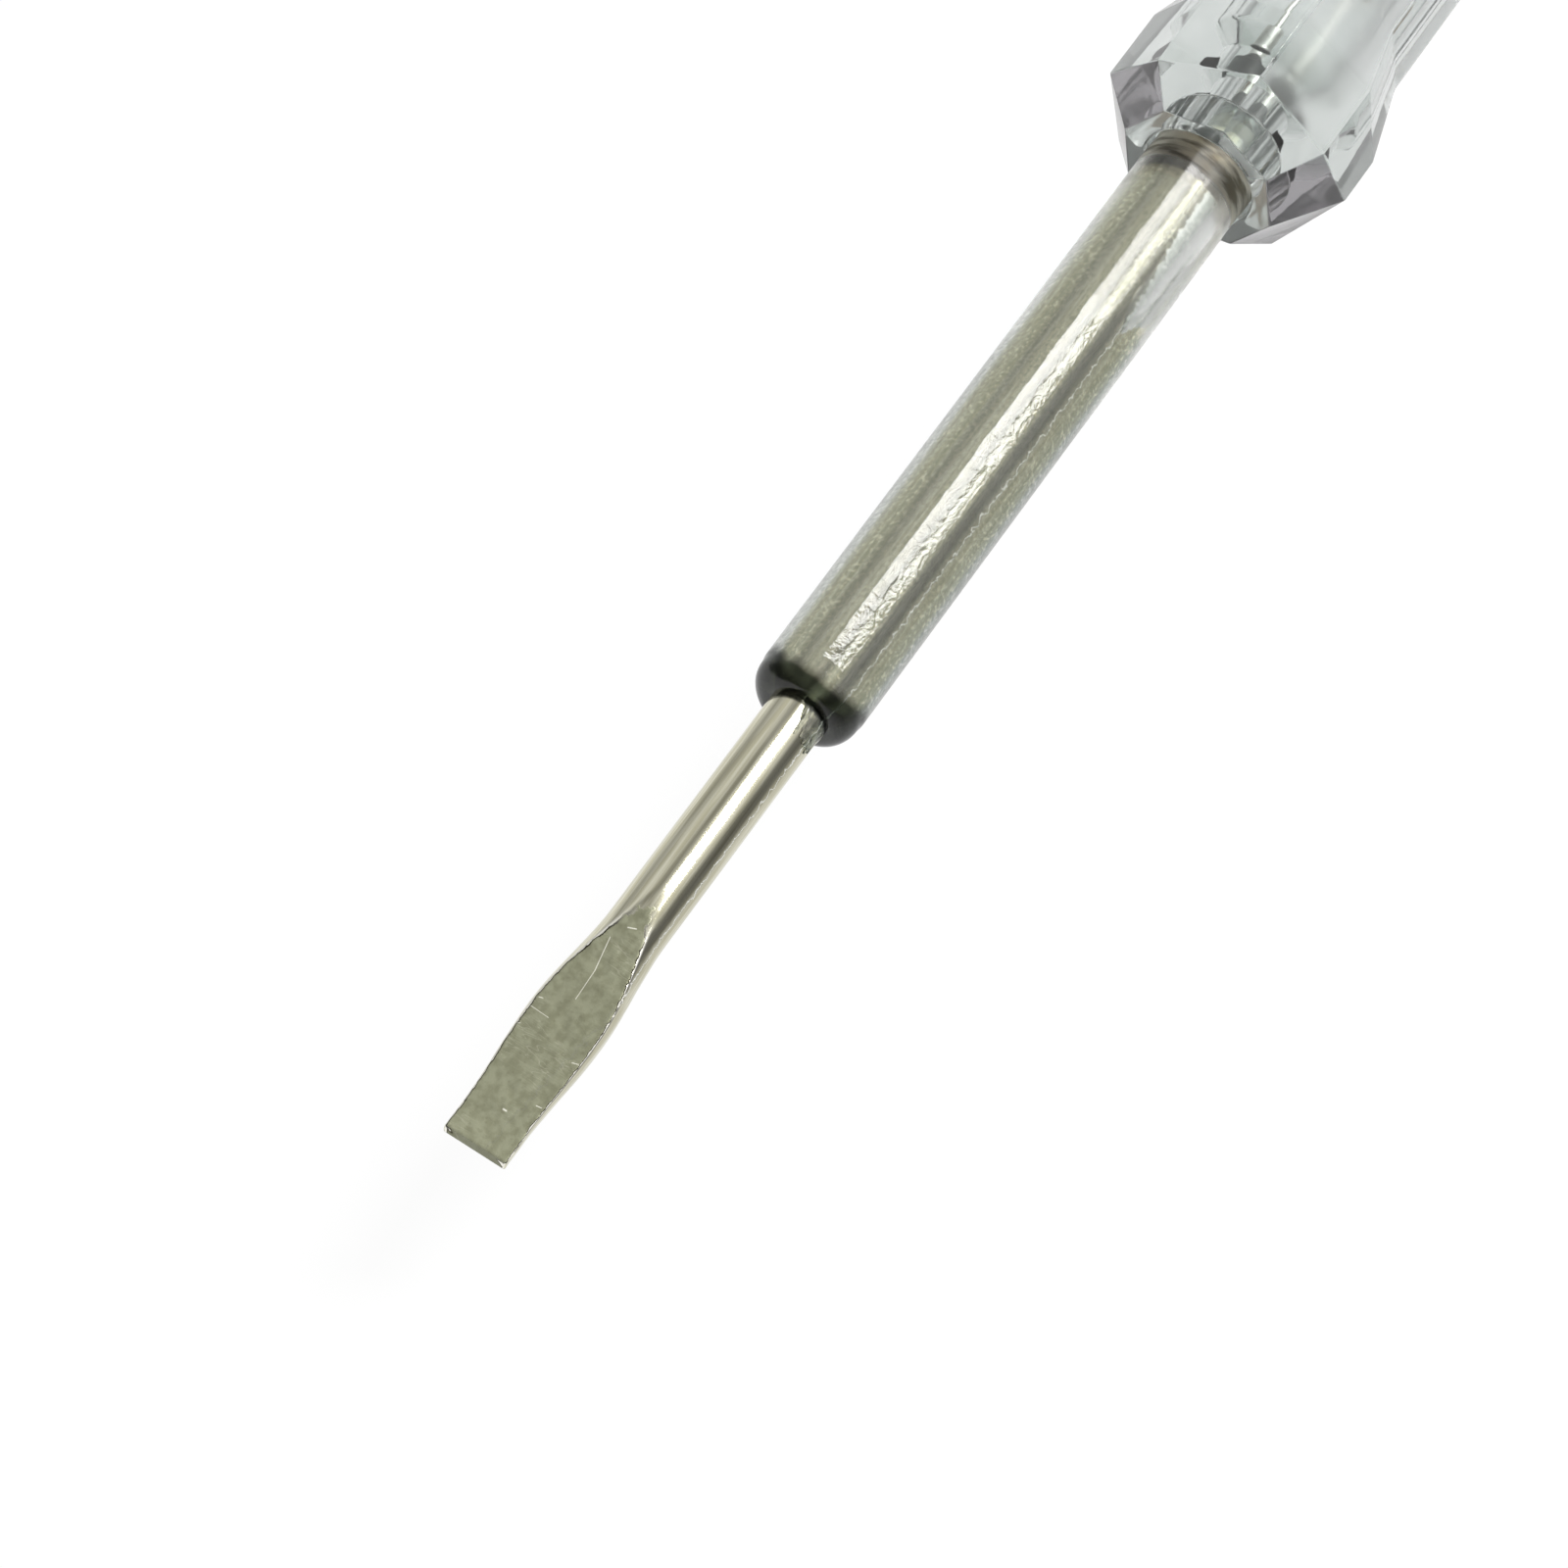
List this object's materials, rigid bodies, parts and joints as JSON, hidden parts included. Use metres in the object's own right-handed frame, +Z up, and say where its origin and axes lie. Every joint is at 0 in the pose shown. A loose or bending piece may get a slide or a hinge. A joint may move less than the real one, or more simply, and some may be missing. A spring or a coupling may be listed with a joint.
{
  "type": "voltage tester screwdriver",
  "caption": "Slotted screwdriver blade in a clear sleeve, clear faceted handle with resistor, neon lamp and spring, screwed metal end cap and pocket clip.",
  "frame": {"origin": "under the middle of the tool's length, on the surface that it lies on", "axes": "+X along the tool from the blade's tip to the end cap, +Z up with the pocket clip on top"},
  "size_m": [0.144, 0.0122, 0.0133],
  "materials": {
    "nickel_plated_steel": "warm bright nickel on the rod, matte and finely scratched on the ground flats",
    "clear_sleeve": "clear, glossy, faintly green",
    "clear_handle": "clear moulded plastic, glossy facets",
    "resistor_coat": "satin tan coating",
    "tinned_wire": "tinned, satin",
    "lamp_glass": "clear glass",
    "lamp_cap_metal": "nickel plated",
    "electrode_metal": "dull grey",
    "spring_steel": "nickel plated spring steel",
    "plated_brass": "nickel plated, knurled rim"
  },
  "bodies": {
    "grip": {"handle": "clear_handle", "blade": "nickel_plated_steel", "insulating_sleeve": "clear_sleeve", "resistor_body": "resistor_coat", "resistor_lead_front": "tinned_wire", "resistor_lead_rear": "tinned_wire", "neon_glass": "lamp_glass", "neon_cap_front": "lamp_cap_metal", "neon_cap_rear": "lamp_cap_metal", "neon_electrode_front": "electrode_metal", "neon_electrode_rear": "electrode_metal", "contact_spring": "spring_steel"},
    "clip": {"clip_ring": "spring_steel"},
    "tongue": {"clip_tongue": "spring_steel"},
    "cap": {"end_cap": "plated_brass"}
  },
  "joints": [
    {"name": "cap_travel", "type": "slide", "parent": "grip", "child": "clip", "axis": [1, 0, 0], "range_m": [0, 0.0072], "deforming": ["contact_spring"]},
    {"name": "cap_turn", "type": "hinge", "parent": "clip", "child": "cap", "pos_m": [0.0676, 0, 0.00605], "axis": [1, 0, 0], "range_deg": [0, 3240]},
    {"name": "clip_flex", "type": "hinge", "parent": "clip", "child": "tongue", "pos_m": [0.06525, 0, 0.0128], "axis": [0, 1, 0], "range_deg": [0, 5], "stiffness_Nm_per_rad": 0.3, "springref_deg": -1.72}
  ],
  "couplings": [
    {"joint": "cap_turn", "follows": "cap_travel", "rad_per_m": 7854}
  ]
}
